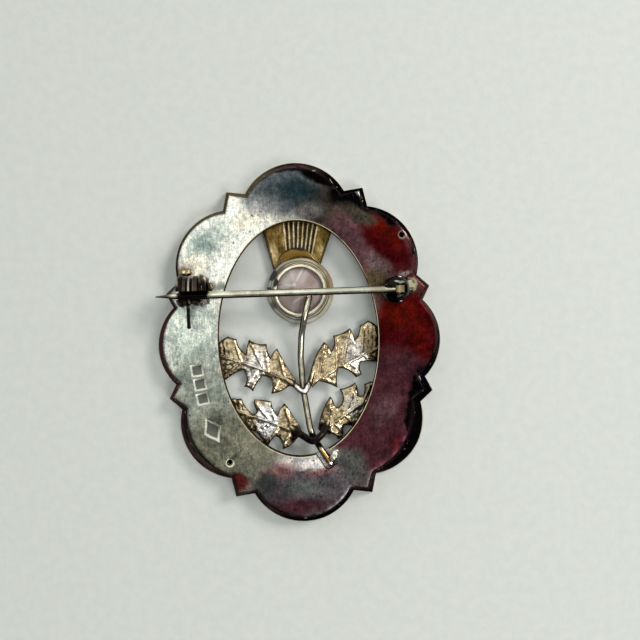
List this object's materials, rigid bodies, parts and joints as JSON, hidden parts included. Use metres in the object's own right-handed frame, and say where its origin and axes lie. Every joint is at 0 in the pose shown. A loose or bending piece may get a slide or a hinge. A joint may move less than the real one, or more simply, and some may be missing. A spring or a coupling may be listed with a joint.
{
  "type": "thistle brooch",
  "caption": "Oval openwork brooch: a lobed hollow frame round a thistle with a faceted stone, leaves and stem, with a hinged pin and a revolving safety catch.",
  "frame": {"origin": "the middle of the frame on the surface that it lies on, face down", "axes": "+Z out of the brooch's back, +Y up through the thistle, +X to the right seen from the back"},
  "size_m": [0.0392, 0.05, 0.0076],
  "materials": {
    "tarnished_silver": "satin silver with purple and red tarnish",
    "silver": "polished silver, slightly dull",
    "dark_silver": "blackened silver, bright on its ridges",
    "silver_gilt": "worn gilding over silver",
    "lilac_glass": "clear pale lilac, cut and polished"
  },
  "bodies": {
    "brooch": {"frame": "tarnished_silver", "thistle_tuft": "silver_gilt", "stone_setting": "silver", "stone": "lilac_glass", "stem": "silver", "upper_leaves": "silver_gilt", "lower_leaves": "silver_gilt", "hinge_joint": "dark_silver", "hinge_rivet": "silver", "catch_housing": "dark_silver"},
    "pin": {"pin": "silver"},
    "roller": {"catch_roller": "dark_silver"}
  },
  "joints": [
    {"name": "pin_hinge", "type": "hinge", "parent": "brooch", "child": "pin", "pos_m": [0.01382, 0.00679, 0.0053], "axis": [0, 1, 0], "range_deg": [0, 95]},
    {"name": "catch_turn", "type": "hinge", "parent": "brooch", "child": "roller", "pos_m": [-0.01405, 0.00742, 0.00542], "axis": [-1, 0, 0], "range_deg": [0, 115]}
  ]
}
